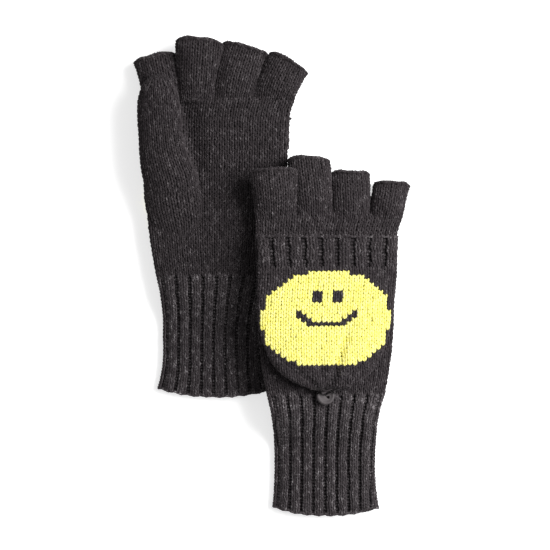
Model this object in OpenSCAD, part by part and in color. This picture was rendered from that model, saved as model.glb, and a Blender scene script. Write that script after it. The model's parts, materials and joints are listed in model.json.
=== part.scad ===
// A pair of convertible flip-top mittens, laid flat: the left one palm up, the right one back up
// and leaning on it. Each is a ribbed cuff, a hand with four open half fingers and a closed thumb,
// and a flap that turns over the fingers or folds back and buttons at the wrist.
// X runs across the hands, Y from the cuffs to the fingers, Z up from the table.

/* [Hand] */
// Width of the hand laid flat
palm_w = 98; // [82:0.5:118]
// Flap line to the top of the cuff
hand_len = 106; // [96:0.5:128]
// Flap line to the finger forks
knuckle_len = 15; // [10:0.5:20]
// Thickness of the hand laid flat
hand_t = 8; // [6.6:0.1:9.6]
// Thickness of the knitted wall
wall = 1.2; // [0.9:0.1:1.5]
// Width where the hand meets the cuff
wrist_w = 80; // [66:0.5:96]

/* [Cuff] */
// Length of the ribbed cuff
cuff_len = 81.5; // [60:0.5:100]
// Width at the narrowest rib
cuff_waist_w = 68; // [56:0.5:82]
// Width at the open edge
cuff_mouth_w = 73; // [60:0.5:88]

/* [Fingers] */
// Widths at the fork: index, middle, ring, little
finger_w = [24.2, 24.8, 24.4, 22.6]; // [18:0.1:29]
// Widths at the open tip, right hand
right_tip_w = [25, 28, 26.5, 24.5]; // [18:0.1:34]
// Widths at the open tip, left hand
left_tip_w = [27.5, 30, 30, 24]; // [18:0.1:36]
// Lengths above the fork
finger_len = [31, 40.5, 33, 24.5]; // [15:0.5:60]
// Lean of each tube, right hand
right_lean = [-2, 1, 6, 19]; // [-30:1:30]
// Lean of each tube, left hand
left_lean = [-11, -1, 12.5, 29]; // [-30:1:30]
// Gap between neighbouring tubes
finger_gap = 0.5; // [0.3:0.1:1]

/* [Thumb] */
// Length of the thumb from its gusset
thumb_len = 76; // [60:0.5:92]
// Width of the thumb at its middle
thumb_w = 30; // [25:0.5:36]
// Width where it leaves the gusset
thumb_root_w = 27; // [22:0.5:33]
// Thickness of the thumb
thumb_t = 8; // [6.6:0.1:9.6]
// Lean of the thumb on the left palm
left_thumb_lean = -7; // [-12:1:10]
// Lean of the thumb tucked under the right palm
right_thumb_lean = 27; // [22:1:34]
// Room between the tucked thumb's root and the left mitten's edge
tuck_clear = 4.7; // [4:0.1:8]
// Size of the hole in the palm that the thumb goes through
thumb_hole_d = 20; // [16:0.5:22]

/* [Flap] */
// Length of the flap from its fold to its tip
flap_len = 99.4; // [88:0.2:119]
// Thickness of the folded flap
flap_t = 7.6; // [6.4:0.1:9.2]
// Height of the ribbed band on its free edge
band_len = 20; // [12:0.5:26]
// Clearance between flap and hand
flap_gap = 0.3; // [0.3:0.1:1]
// Diameter of the linking seam at the fold
seam_d = 1.2; // [1:0.1:1.4]
// Length of the linking seam
seam_len = 56; // [40:1:70]

/* [Button and loop] */
// Diameter of the button
button_d = 12.7; // [10:0.1:15.5]
// Thickness of the button at its rim
button_t = 3; // [2:0.1:4]
// Height of the thread shank under it
shank_h = 1.4; // [0.8:0.1:2]
// Diameter of each sewing hole
sew_hole_d = 1.8; // [1.2:0.1:2.2]
// Distance between the two sewing holes
sew_pitch = 4.2; // [3:0.1:5.2]
// Turn of the holes round the button
sew_turn = -34; // [-90:1:90]
// Thickness of the loop's yarn
loop_d = 1.7; // [1.2:0.1:2.2]

/* [Layout] */
// Distance between the two mittens, across
pair_dx = 74.8; // [62:0.2:90]
// How far the right one lies below the left one
pair_dy = 80.2; // [66:0.2:97]
// How far the tucked thumb holds the right hand up
thumb_prop = 1.4; // [0.4:0.1:3]
// Clearance between the two mittens
lay_gap = 1; // [0.6:0.1:2]

/* [Hidden] */
PARTS = [
    "cuff", "hand", "knuckles", "index_finger", "middle_finger", "ring_finger", "little_finger",
    "thumb_gusset", "thumb", "flap", "flap_band", "flap_seam", "button", "button_thread", "button_loop"
];

wool = [0.20, 0.19, 0.20];
rib_wool = [0.25, 0.24, 0.25];
flap_yellow = [0.86, 0.82, 0.42];
horn = [0.12, 0.11, 0.11];
yarn_loop = [0.10, 0.09, 0.09];

round_fn = 48;
ring_points = 24;
roundness = 2.6; // exponent of the flat oval that every tube is in section
lay_e = roundness / (roundness - 1);

finger_sum = finger_w[0] + finger_w[1] + finger_w[2] + finger_w[3] + 3 * finger_gap;

// the fold axis stands this far above the back of the hand
fold_z = flap_gap / 2 + seam_d / 2;
flap_mid_z = flap_gap + flap_t / 2;
flap_stack = flap_gap + flap_t;

// the right mitten leans on the left one's edge at this angle
roll = atan((flap_stack + hand_t + lay_gap) / pair_dx);
little_w = right_tip_w[3] * cos(right_lean[3]);
little_mid = tip_x(3, right_lean, 0);
right_h = max(low_reach(palm_w / 2), low_reach(little_w / 2) + little_mid * sin(roll))
    + hand_t / 2 * cos(roll) + thumb_prop;

// a mitten settles from the hand's level to the table between these distances below the fold,
// past its button and loop and wholly within its cuff
settle_len = 27.7;
drape_from = max(flap_len + button_d + loop_d + 1.2, hand_len + 9);
drape_to = drape_from + settle_len;

button_y = -(flap_len + 0.3 + button_d / 2);
loop_r = button_d / 2 + 0.6 + loop_d / 2;
loop_pivot_y = -(flap_len + 0.4 + loop_d / 2);
loop_z = flap_gap + loop_d / 2;

thumb_y = -46;
thumb_in = 31; // the thumb's middle to the middle of the palm, where it isn't tucked
thumb_gap = 1;
palm_gap = 0.2;
thumb_mid_z = -hand_t - thumb_gap - thumb_t / 2;
gusset_len = 30;
function thumb_lean(side) = side == "left" ? left_thumb_lean : right_thumb_lean;
function thumb_x(side) =
    side == "left" ? -thumb_in
    : cuff_w((pair_dy - thumb_y - hand_len) / cuff_len) / 2 - pair_dx + thumb_root_w / 2 + tuck_clear;

// the pair's box is centred on the origin
span_x0 = tip_x(0, left_lean, -left_tip_w[0]);
span_x1 = pair_dx + cos(roll) * tip_x(3, right_lean, right_tip_w[3]) - sin(roll) * hand_t / 2;
span_y0 = -pair_dy - hand_len - cuff_len;
span_y1 = knuckle_len + finger_len[1] * cos(left_lean[1]) + left_tip_w[1] / 2 * abs(sin(left_lean[1]));
left_at = [-(span_x0 + span_x1) / 2, -(span_y0 + span_y1) / 2];
right_at = left_at + [pair_dx, -pair_dy];

// the middle of finger i at the fork, and how far across its tip reaches on the side that w's sign gives
function finger_x(i) =
    -finger_sum / 2 + finger_w[i] / 2 + (i > 0 ? finger_w[0] + finger_gap : 0)
    + (i > 1 ? finger_w[1] + finger_gap : 0) + (i > 2 ? finger_w[2] + finger_gap : 0);
function tip_x(i, lean, w) = finger_x(i) + finger_len[i] * sin(lean[i]) + w / 2 * cos(lean[i]);

// how far below its middle a flat tube of that half width reaches once it is rolled
function low_reach(hw) =
    pow(pow(hw * sin(roll), lay_e) + pow(hand_t / 2 * cos(roll), lay_e), 1 / lay_e);

function ease(t) = let (u = min(max(t, 0), 1)) u * u * (3 - 2 * u);
function mix(a, b, t) = a + (b - a) * t;
function settled(y) = ease((-y - drape_from) / (drape_to - drape_from));

// a point of a mitten (x across, y to the fingers, z = 0 on the back of the hand) where it lies
function left_place(p) = [
    left_at[0] + p[0], left_at[1] + p[1], mix(flap_stack, 0, settled(p[1])) - p[2]
];
function right_place(p) = let (s = settled(p[1]), a = roll * (1 - s)) [
    right_at[0] + p[0] * cos(a) + p[2] * sin(a),
    right_at[1] + p[1],
    mix(right_h, hand_t, s) - p[0] * sin(a) + p[2] * cos(a)
];
function place(side, p) = side == "left" ? left_place(p) : right_place(p);

// one ring of a flat tube: centre, direction across, direction through, half width, half thickness
function bend(c) = sign(c) * pow(abs(c), 2 / roundness);
function ring(c, across, through, hw, ht, from = 0, turn = 360, steps = ring_points) = [
    for (i = [0:steps - (turn == 360 ? 1 : 0)])
        let (a = from + turn * i / steps)
            c + across * hw * bend(cos(a)) + through * ht * bend(sin(a))
];
// a section is [centre, direction across, direction through, half width, half thickness]
function outer(s) = ring(s[0], s[1], s[2], s[3], s[4]);
function inner(s) = ring(s[0], s[1], s[2], s[3] - wall, s[4] - wall);
// a section square to Y
function level(y, w, t, z, x = 0) = [[x, y, z], [1, 0, 0], [0, 0, 1], w / 2, t / 2];

// a skin between two stacks of rings, open at both ends or closed over the last ones
module skin(side, out, in, closed = false, strip = false) {
    n = len(out[0]);
    k = len(out);
    m = len(in);
    wrap = strip ? n - 1 : n;
    points = [for (r = out, p = r) place(side, p), for (r = in, p = r) place(side, p)];
    tip_out = len(points);
    function o(i, j) = i * n + j % n;
    function q(i, j) = (k + i) * n + j % n;
    function mean(r) = [for (d = [0:2]) [for (p = r) p[d]] * [for (p = r) 1 / n]];
    // the faces turn over where the stack grows against its rings' own direction, and once more on the left
    grows = mean(out[1]) - mean(out[0]);
    with_rings = cross(out[0][3] - out[0][0], out[0][6] - out[0][3]) * grows > 0;
    turn_over = with_rings == (side == "left");
    ends = closed ? [place(side, mean(out[k - 1])), place(side, mean(in[m - 1]))] : [];
    faces = concat(
        [for (i = [0:k - 2], j = [0:wrap - 1]) [o(i, j), o(i + 1, j), o(i + 1, j + 1)]],
        [for (i = [0:k - 2], j = [0:wrap - 1]) [o(i, j), o(i + 1, j + 1), o(i, j + 1)]],
        [for (i = [0:m - 2], j = [0:wrap - 1]) [q(i, j), q(i + 1, j + 1), q(i + 1, j)]],
        [for (i = [0:m - 2], j = [0:wrap - 1]) [q(i, j), q(i, j + 1), q(i + 1, j + 1)]],
        [for (j = [0:wrap - 1]) [o(0, j), o(0, j + 1), q(0, j + 1)]],
        [for (j = [0:wrap - 1]) [o(0, j), q(0, j + 1), q(0, j)]],
        closed ? [for (j = [0:wrap - 1]) [o(k - 1, j), tip_out, o(k - 1, j + 1)]] : [],
        closed ? [for (j = [0:wrap - 1]) [q(m - 1, j), q(m - 1, j + 1), tip_out + 1]] : [],
        closed ? [] : [for (j = [0:wrap - 1]) [o(k - 1, j), q(m - 1, j + 1), o(k - 1, j + 1)]],
        closed ? [] : [for (j = [0:wrap - 1]) [o(k - 1, j), q(m - 1, j), q(m - 1, j + 1)]],
        strip ? [for (i = [0:k - 2]) [o(i, 0), q(i + 1, 0), o(i + 1, 0)]] : [],
        strip ? [for (i = [0:k - 2]) [o(i, 0), q(i, 0), q(i + 1, 0)]] : [],
        strip ? [for (i = [0:k - 2]) [o(i, n - 1), o(i + 1, n - 1), q(i + 1, n - 1)]] : [],
        strip ? [for (i = [0:k - 2]) [o(i, n - 1), q(i + 1, n - 1), q(i, n - 1)]] : []
    );
    polyhedron(concat(points, ends), turn_over ? [for (f = faces) [f[2], f[1], f[0]]] : faces);
}

// an open flat tube through a list of sections
module tube(side, sections) {
    skin(side, [for (s = sections) outer(s)], [for (s = sections) inner(s)]);
}

// a flat tube closed at its end: the last section is left out of the inside
module sock(side, sections) {
    n = len(sections);
    skin(side, [for (s = sections) outer(s)], [for (i = [0:n - 2]) inner(sections[i])], closed = true);
}

// a true round piece stands on the back of the hand, which is still level there
module on_back(side, p) {
    if (side == "left") translate(left_place(p)) mirror([0, 0, 1]) children();
    if (side == "right") translate(right_place(p)) rotate([0, roll, 0]) children();
}

function hand_w(y) =
    y > -0.6 * hand_len ? mix(palm_w, palm_w - 4, -y / (0.6 * hand_len))
    : mix(palm_w - 4, wrist_w, pow((-y / hand_len - 0.6) / 0.4, 1.4));

// the cuff's width at a share of its length below the hand
function cuff_w(share) = lookup(share, [
    [0, wrist_w], [0.12, mix(wrist_w, cuff_waist_w, 0.55)], [0.3, cuff_waist_w + 1], [0.5, cuff_waist_w],
    [0.7, cuff_waist_w + 0.5], [0.88, mix(cuff_waist_w, cuff_mouth_w, 0.6)], [1, cuff_mouth_w]
]);

module cuff(side) {
    settles = (drape_from - hand_len) / cuff_len;
    lies = (drape_to - hand_len) / cuff_len;
    stations = [0, settles, (settles + lies) / 2, lies, mix(lies, 1, 0.45), mix(lies, 1, 0.78), 1];
    color(rib_wool)
        tube(side, [for (f = stations) level(-hand_len - cuff_len * f, cuff_w(f), hand_t, -hand_t / 2)]);
}

module hand(side) {
    color(wool)
        difference() {
            tube(side, [
                for (f = [0, 0.2, 0.4, 0.6, 0.75, 0.88, 1])
                    level(-hand_len * f, hand_w(-hand_len * f), hand_t, -hand_t / 2)
            ]);
            thumb_hole(side);
        }
}

// the hole is a round cut through the palm's wall only
module thumb_hole(side) {
    hole_at = [thumb_x(side), thumb_y - gusset_len / 2, -hand_t];
    on_back(side, hole_at)
        translate([0, 0, -1]) cylinder(d = thumb_hole_d, h = wall + 1.6, $fn = 20);
}

module knuckles(side) {
    color(wool)
        tube(side, [
            level(0, palm_w, hand_t, -hand_t / 2),
            level(knuckle_len / 2, mix(palm_w, finger_sum, 0.6), hand_t, -hand_t / 2),
            level(knuckle_len, finger_sum, hand_t, -hand_t / 2)
        ]);
}

module finger(side, i) {
    lean = side == "left" ? left_lean[i] : right_lean[i];
    tip_w = side == "left" ? left_tip_w[i] : right_tip_w[i];
    color(wool)
        tube(side, [
            for (f = [0, 0.35, 0.7, 1])
                let (a = lean * f, run = finger_len[i] * f)
                    [
                        [finger_x(i) + run * sin(lean), knuckle_len + run * cos(lean), -hand_t / 2],
                        [cos(a), -sin(a), 0], [0, 0, 1], mix(finger_w[i], tip_w, f) / 2, hand_t / 2
                    ]
        ]);
}

// the hood that carries the thumb's fabric round from the hole in the palm to the thumb: its rings
// turn about a line just under the palm, from flat on the palm to square to the thumb
function gusset_section(side, turn) =
    let (
        lean = thumb_lean(side) * sin(turn),
        across = [cos(lean), -sin(lean), 0],
        toward = [-sin(lean) * cos(turn), -cos(lean) * cos(turn), -sin(turn)],
        line = [thumb_x(side), thumb_y, -hand_t - palm_gap],
        near = thumb_gap - palm_gap,
        far = mix(gusset_len, near + thumb_t, pow(turn / 90, 0.8))
    )
        [
            line + toward * (near + far) / 2, across, toward,
            mix(thumb_root_w - 1, thumb_root_w, turn / 90) / 2, (far - near) / 2
        ];

module thumb_gusset(side) {
    color(wool) tube(side, [for (turn = [0, 22, 45, 68, 90]) gusset_section(side, turn)]);
}

module thumb(side) {
    lean = thumb_lean(side);
    root = [thumb_x(side), thumb_y, thumb_mid_z];
    steps = [0, 0.25, 0.5, 0.7, 0.85, 0.94, 0.985, 1];
    widths = [thumb_root_w, thumb_w - 1, thumb_w, thumb_w - 1, thumb_w - 4, thumb_w - 9, thumb_w - 17, 8];
    thickness = [1, 1, 1, 1, 1, 0.96, 0.82, 0.5];
    color(wool)
        sock(side, [
            for (i = [0:len(steps) - 1])
                [
                    root + [sin(lean), cos(lean), 0] * thumb_len * steps[i],
                    [cos(lean), -sin(lean), 0], [0, 0, 1], widths[i] / 2, thumb_t / 2 * thickness[i]
                ]
        ]);
}

function flap_w(f) = palm_w * (f < 0.5 ? 1 - 0.06 * f : 0.97 * pow(max(1 - pow((f - 0.5) / 0.51, 2.6), 0.001), 0.46));

module flap(side) {
    from_band = [0, 0.2, 0.42, 0.6, 0.74, 0.84, 0.91, 0.96, 0.988];
    color(flap_yellow)
        union() {
            sock(side, concat(
                [
                    for (u = from_band)
                        let (y = mix(band_len, flap_len, u))
                            level(-y, flap_w(y / flap_len), flap_t * (u < 0.8 ? 1 : 1 - 1.6 * (u - 0.8)), flap_mid_z)
                ],
                [level(-flap_len, flap_w(1) * 0.75, flap_t * 0.5, flap_mid_z)]
            ));
            flap_strip(side, 180, seam_d / 2 + 0.4);
        }
}

// half of the flap's mouth: the layer on the hand (turn from 180) or the outer one (turn from 0)
module flap_strip(side, from, start) {
    rows = [start, band_len / 2, band_len];
    skin(
        side,
        [for (y = rows) ring([0, -y, flap_mid_z], [1, 0, 0], [0, 0, 1], flap_w(y / flap_len) / 2, flap_t / 2, from, 180, 12)],
        [
            for (y = rows)
                ring([0, -y, flap_mid_z], [1, 0, 0], [0, 0, 1], flap_w(y / flap_len) / 2 - wall, flap_t / 2 - wall, from, 180, 12)
        ],
        strip = true
    );
}

module flap_band(side) {
    color(rib_wool) flap_strip(side, 0, flap_gap);
}

module flap_seam(side) {
    color(wool)
        on_back(side, [-seam_len / 2, 0, fold_z])
            rotate([0, 90, 0]) cylinder(d = seam_d, h = seam_len, $fn = round_fn);
}

module button(side) {
    hollow_d = button_d - 3.2;
    hollow_depth = 0.6;
    color(horn)
        on_back(side, [0, button_y, shank_h])
            difference() {
                union() {
                    cylinder(d1 = button_d - 1.2, d2 = button_d, h = 0.6, $fn = round_fn);
                    translate([0, 0, 0.6]) cylinder(d = button_d, h = button_t - 1.2, $fn = round_fn);
                    translate([0, 0, button_t - 0.6])
                        cylinder(d1 = button_d, d2 = button_d - 1.2, h = 0.6, $fn = round_fn);
                }
                translate([0, 0, button_t - hollow_depth])
                    cylinder(d = hollow_d, h = hollow_depth + 1, $fn = round_fn);
                for (x = [-sew_pitch / 2, sew_pitch / 2])
                    rotate([0, 0, sew_turn]) translate([x, 0, -1]) cylinder(d = sew_hole_d, h = button_t + 2, $fn = round_fn);
            }
}

module button_thread(side) {
    color(wool)
        on_back(side, [0, button_y, 0])
            translate([0, 0, 0.05]) cylinder(d = sew_pitch, h = shank_h - 0.05, $fn = round_fn);
}

module button_loop(side) {
    leg = loop_pivot_y - button_y;
    color(yarn_loop)
        on_back(side, [0, button_y, loop_z]) {
            rotate([0, 0, 180])
                rotate_extrude(angle = 180, $fn = round_fn)
                    translate([loop_r, 0]) circle(d = loop_d, $fn = round_fn);
            for (x = [-loop_r, loop_r])
                translate([x, 0, 0]) rotate([-90, 0, 0]) cylinder(d = loop_d, h = leg, $fn = round_fn);
        }
}

module mitten_part(side, part) {
    if (part == "cuff") cuff(side);
    if (part == "hand") hand(side);
    if (part == "knuckles") knuckles(side);
    if (part == "index_finger") finger(side, 0);
    if (part == "middle_finger") finger(side, 1);
    if (part == "ring_finger") finger(side, 2);
    if (part == "little_finger") finger(side, 3);
    if (part == "thumb_gusset") thumb_gusset(side);
    if (part == "thumb") thumb(side);
    if (part == "flap") flap(side);
    if (part == "flap_band") flap_band(side);
    if (part == "flap_seam") flap_seam(side);
    if (part == "button") button(side);
    if (part == "button_thread") button_thread(side);
    if (part == "button_loop") button_loop(side);
}

for (side = ["left", "right"], part = PARTS)
    mitten_part(side, part);
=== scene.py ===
import json
import math
import bpy
import bmesh
import numpy as np
from mathutils import Matrix, Vector


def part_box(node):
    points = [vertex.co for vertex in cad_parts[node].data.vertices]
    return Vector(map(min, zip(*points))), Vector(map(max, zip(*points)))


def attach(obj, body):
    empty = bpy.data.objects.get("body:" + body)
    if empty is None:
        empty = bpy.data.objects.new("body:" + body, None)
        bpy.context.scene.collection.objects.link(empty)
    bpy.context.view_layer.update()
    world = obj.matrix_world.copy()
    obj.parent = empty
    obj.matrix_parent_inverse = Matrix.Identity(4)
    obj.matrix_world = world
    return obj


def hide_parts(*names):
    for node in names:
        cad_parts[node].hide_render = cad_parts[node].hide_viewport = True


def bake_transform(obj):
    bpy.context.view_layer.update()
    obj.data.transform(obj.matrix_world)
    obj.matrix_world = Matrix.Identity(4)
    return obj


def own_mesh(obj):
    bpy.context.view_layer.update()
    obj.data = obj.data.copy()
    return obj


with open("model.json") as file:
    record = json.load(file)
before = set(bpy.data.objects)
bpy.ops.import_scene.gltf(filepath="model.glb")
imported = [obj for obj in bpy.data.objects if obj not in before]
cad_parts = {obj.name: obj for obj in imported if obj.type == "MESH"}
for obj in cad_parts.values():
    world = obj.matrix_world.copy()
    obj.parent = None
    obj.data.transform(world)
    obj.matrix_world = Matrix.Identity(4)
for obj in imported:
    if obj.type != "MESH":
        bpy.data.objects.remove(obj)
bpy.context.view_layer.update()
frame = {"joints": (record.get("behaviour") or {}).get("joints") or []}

mm = 0.001
rng = np.random.default_rng(11)
joints = {j['name']: j for j in frame['joints']}
sides = ('left', 'right')


def nodeBox(name):  # a CAD node's lowest and highest corners, in millimetres
    low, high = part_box(name)
    return np.array(low) / mm, np.array(high) / mm


# sizes and places read from the frame
leftFold = np.array(joints['left_flap_fold']['pos_m']) / mm
rightFold = np.array(joints['right_flap_fold']['pos_m']) / mm
rightAxis = joints['right_flap_fold']['axis']
roll = math.atan2(abs(rightAxis[2]), abs(rightAxis[0]))  # the right mitten leans on the left one
handLow, handHigh = nodeBox('left_hand')
cuffLow, cuffHigh = nodeBox('left_cuff')
flapLow, flapHigh = nodeBox('left_flap')
buttonLow, buttonHigh = nodeBox('left_button')
stack = handLow[2]  # the left hand's back lies this far above the table, on its flap
foldRise = stack - leftFold[2]
palmWidth = handHigh[0] - handLow[0]
handLength = leftFold[1] - handLow[1]
handThick = handHigh[2] - handLow[2]
cuffLength = handLow[1] - cuffLow[1]
wristWidth = cuffHigh[0] - cuffLow[0]
knuckleLength = nodeBox('left_knuckles')[1][1] - leftFold[1]
flapLength = leftFold[1] - flapLow[1]
flapThick = flapHigh[2] - flapLow[2]
flapMiddle = stack - (flapHigh[2] + flapLow[2]) / 2
buttonY = (buttonLow[1] + buttonHigh[1]) / 2 - leftFold[1]
buttonRise = stack - buttonHigh[2]
buttonRadius = (buttonHigh[0] - buttonLow[0]) / 2
thumbRoot = {s: np.array(joints[s + '_thumb_swing']['pos_m']) / mm for s in sides}

drape = {'from': 115.0, 'length': 27.7}  # below the fold a mitten settles from the hand's height to the table


def settled(y):
    t = np.clip((-y - drape['from']) / drape['length'], 0, 1)
    return t * t * (3 - 2 * t)


def lay(side, p):  # a mitten's own millimetres (x across, y to the fingers, z out of the back) to where it lies
    x, y, z = p[..., 0], p[..., 1], p[..., 2]
    s = settled(y)
    if side == 'left':
        return np.stack([leftFold[0] + x, leftFold[1] + y, stack * (1 - s) - z], -1)
    a = roll * (1 - s)
    midX = rightFold[0] - foldRise * math.sin(roll)
    height = (rightFold[2] - foldRise * math.cos(roll)) * (1 - s) + handThick * s
    return np.stack([midX + x * np.cos(a) + z * np.sin(a), rightFold[1] + y,
                     height - x * np.sin(a) + z * np.cos(a)], -1)


# ---- materials

def linear(hexColour):
    channels = [int(hexColour[i:i + 2], 16) / 255 for i in (1, 3, 5)]
    return [c / 12.92 if c < 0.04045 else ((c + 0.055) / 1.055) ** 2.4 for c in channels] + [1.0]


def addNode(tree, kind, settings=None, inputs=None):
    node = tree.nodes.new(kind)
    for key, value in (settings or {}).items():
        setattr(node, key, value)
    for key, value in (inputs or {}).items():
        if isinstance(value, bpy.types.NodeSocket):
            tree.links.new(value, node.inputs[key])
        else:
            node.inputs[key].default_value = value
    return node


def startMaterial(name, **sockets):
    material = bpy.data.materials.new(name)
    material.use_nodes = True
    tree = material.node_tree
    shader = tree.nodes['Principled BSDF']
    for key, value in sockets.items():
        shader.inputs[key.replace('_', ' ')].default_value = value
    return material, tree, shader


def ramp(tree, fac, stops):
    node = addNode(tree, 'ShaderNodeValToRGB', inputs={'Fac': fac})
    elements = node.color_ramp.elements
    while len(elements) < len(stops):
        elements.new(0.5)
    for element, (place, colour) in zip(elements, stops):
        element.position = place
        element.color = linear(colour)
    return node.outputs['Color']


# wool: soft plied yarn, so it is fully rough, with a pale bloom of fibre ends at grazing angles
wool = {
    'charcoal': {'deep': '#181416', 'middle': '#302b2d', 'pale': '#706b6d', 'sheen': 0.35},
    # rib and band: lighter copies of the same charcoal heather yarn, painted light on the cuffs and the flap band
    'rib': {'deep': '#1b1719', 'middle': '#383335', 'pale': '#948f91', 'sheen': 0.45},
    'band': {'deep': '#191517', 'middle': '#322d2f', 'pale': '#827d7f', 'sheen': 0.35},
    'lemon': {'deep': '#e8df62', 'middle': '#f5ee88', 'pale': '#fffbc4', 'sheen': 0.1},
    # the purl side's tone is darker than the charcoal yarn, as painted shade between the loops; the dark plied yarn
    # has this tone of its own
    'darkYarnAndShade': {'deep': '#0f0c0d', 'middle': '#1a1718', 'pale': '#2f2b2c', 'sheen': 0.1},
    'tuft': 1.9,       # mm, the size of one tuft of dyed fibre in the heather
    'fibre': 0.45,     # mm, drawn coarser than real 0.03 mm fibre so that it shows
    'plyTwist': 0.9    # mm between the plies' ridges
}


def woolMaterial(name, tone, yarn=True):
    material, tree, shader = startMaterial(
        name, Roughness=0.95, Sheen_Weight=tone['sheen'], Sheen_Roughness=0.45,
        Sheen_Tint=linear(tone['pale']), Specular_IOR_Level=0.2)
    place = addNode(tree, 'ShaderNodeMapping', inputs={  # the fibres lie mostly along the wales
        'Vector': addNode(tree, 'ShaderNodeTexCoord').outputs['Object'], 'Scale': (1.0, 0.42, 1.0)}).outputs['Vector']
    tuft = addNode(tree, 'ShaderNodeTexNoise', inputs={
        'Vector': place, 'Scale': 1000 / wool['tuft'], 'Detail': 3.0, 'Roughness': 0.6})
    fibre = addNode(tree, 'ShaderNodeTexNoise', inputs={
        'Vector': place, 'Scale': 1000 / wool['fibre'], 'Detail': 2.0, 'Roughness': 0.7})
    both = addNode(tree, 'ShaderNodeMix', {'data_type': 'FLOAT'}, {
        0: 0.5, 2: tuft.outputs['Fac'], 3: fibre.outputs['Fac']})
    colour = ramp(tree, both.outputs[0], [
        (0.38, tone['deep']), (0.49, tone['middle']), (0.55, tone['middle']), (0.66, tone['pale'])])
    tree.links.new(colour, shader.inputs['Base Color'])
    height = fibre.outputs['Fac']
    if yarn:  # two plies wind round each other along every leg of a stitch
        along = addNode(tree, 'ShaderNodeUVMap', {'uv_map': 'yarn'})
        turned = addNode(tree, 'ShaderNodeMapping', inputs={
            'Vector': along.outputs['UV'], 'Rotation': (0, 0, math.radians(38))})
        ply = addNode(tree, 'ShaderNodeTexWave', {'wave_profile': 'SIN'}, {
            'Vector': turned.outputs['Vector'], 'Scale': 1.6 / wool['plyTwist'], 'Distortion': 1.2})
        height = addNode(tree, 'ShaderNodeMix', {'data_type': 'FLOAT'}, {
            0: 0.45, 2: fibre.outputs['Fac'], 3: ply.outputs['Fac']}).outputs[0]
    bump = addNode(tree, 'ShaderNodeBump', inputs={'Height': height, 'Strength': 0.8, 'Distance': 0.0004})
    tree.links.new(bump.outputs['Normal'], shader.inputs['Normal'])
    return material


charcoalWool = woolMaterial('charcoal heather wool', wool['charcoal'])
# painted light: the cuff and flap band wools are lighter copies of the charcoal
litRibWool = woolMaterial('charcoal heather rib wool, lit copy', wool['rib'])
litBandWool = woolMaterial('charcoal heather band wool, lit copy', wool['band'])
lemonWool = woolMaterial('lemon wool', wool['lemon'])
# the wall under the stitches is the real back of the fabric, coloured darker than the yarn as painted shade in the
# gaps between the loops
purlSideShadeWool = woolMaterial('charcoal wool, purl side darkened as painted shade', wool['darkYarnAndShade'], yarn=False)
darkYarn = woolMaterial('dark plied yarn', wool['darkYarnAndShade'])

# casein-like moulded resin, tumbled to a satin: a soft highlight, faint clouding and fine rub marks
buttonResin, tree, shader = startMaterial(
    'satin moulded resin', Roughness=0.62, IOR=1.5, Specular_IOR_Level=0.3)
place = addNode(tree, 'ShaderNodeTexCoord').outputs['Object']
cloud = addNode(tree, 'ShaderNodeTexNoise', inputs={'Vector': place, 'Scale': 260.0, 'Detail': 4.0})
tree.links.new(ramp(tree, cloud.outputs['Fac'], [(0.3, '#3a3537'), (0.7, '#4c4748')]), shader.inputs['Base Color'])
rub = addNode(tree, 'ShaderNodeTexNoise', inputs={'Vector': place, 'Scale': 2200.0, 'Detail': 2.0})
bump = addNode(tree, 'ShaderNodeBump', inputs={'Height': rub.outputs['Fac'], 'Strength': 0.12, 'Distance': 0.0001})
tree.links.new(bump.outputs['Normal'], shader.inputs['Normal'])
print('materials made')


# ---- sheets: a smooth surface through a few flat-oval sections, which the knitting is laid on

def spline(knots, values, at):
    slope = np.diff(values, axis=0) / np.diff(knots)[:, None]
    tangent = np.vstack([slope[:1], (slope[1:] + slope[:-1]) / 2, slope[-1:]])
    i = np.clip(np.searchsorted(knots, at, side='right') - 1, 0, len(knots) - 2)
    gap = (knots[i + 1] - knots[i])[:, None]
    s = (at - knots[i])[:, None] / gap
    return ((2 * s ** 3 - 3 * s ** 2 + 1) * values[i] + (s ** 3 - 2 * s ** 2 + s) * gap * tangent[i]
            + (3 * s ** 2 - 2 * s ** 3) * values[i + 1] + (s ** 3 - s ** 2) * gap * tangent[i + 1])


def section(x, y, z, halfWidth, halfThick, lean=0.0):
    c, s = math.cos(math.radians(lean)), math.sin(math.radians(lean))
    return [x, y, z, c, -s, 0, 0, 0, 1, halfWidth, halfThick]


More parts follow.
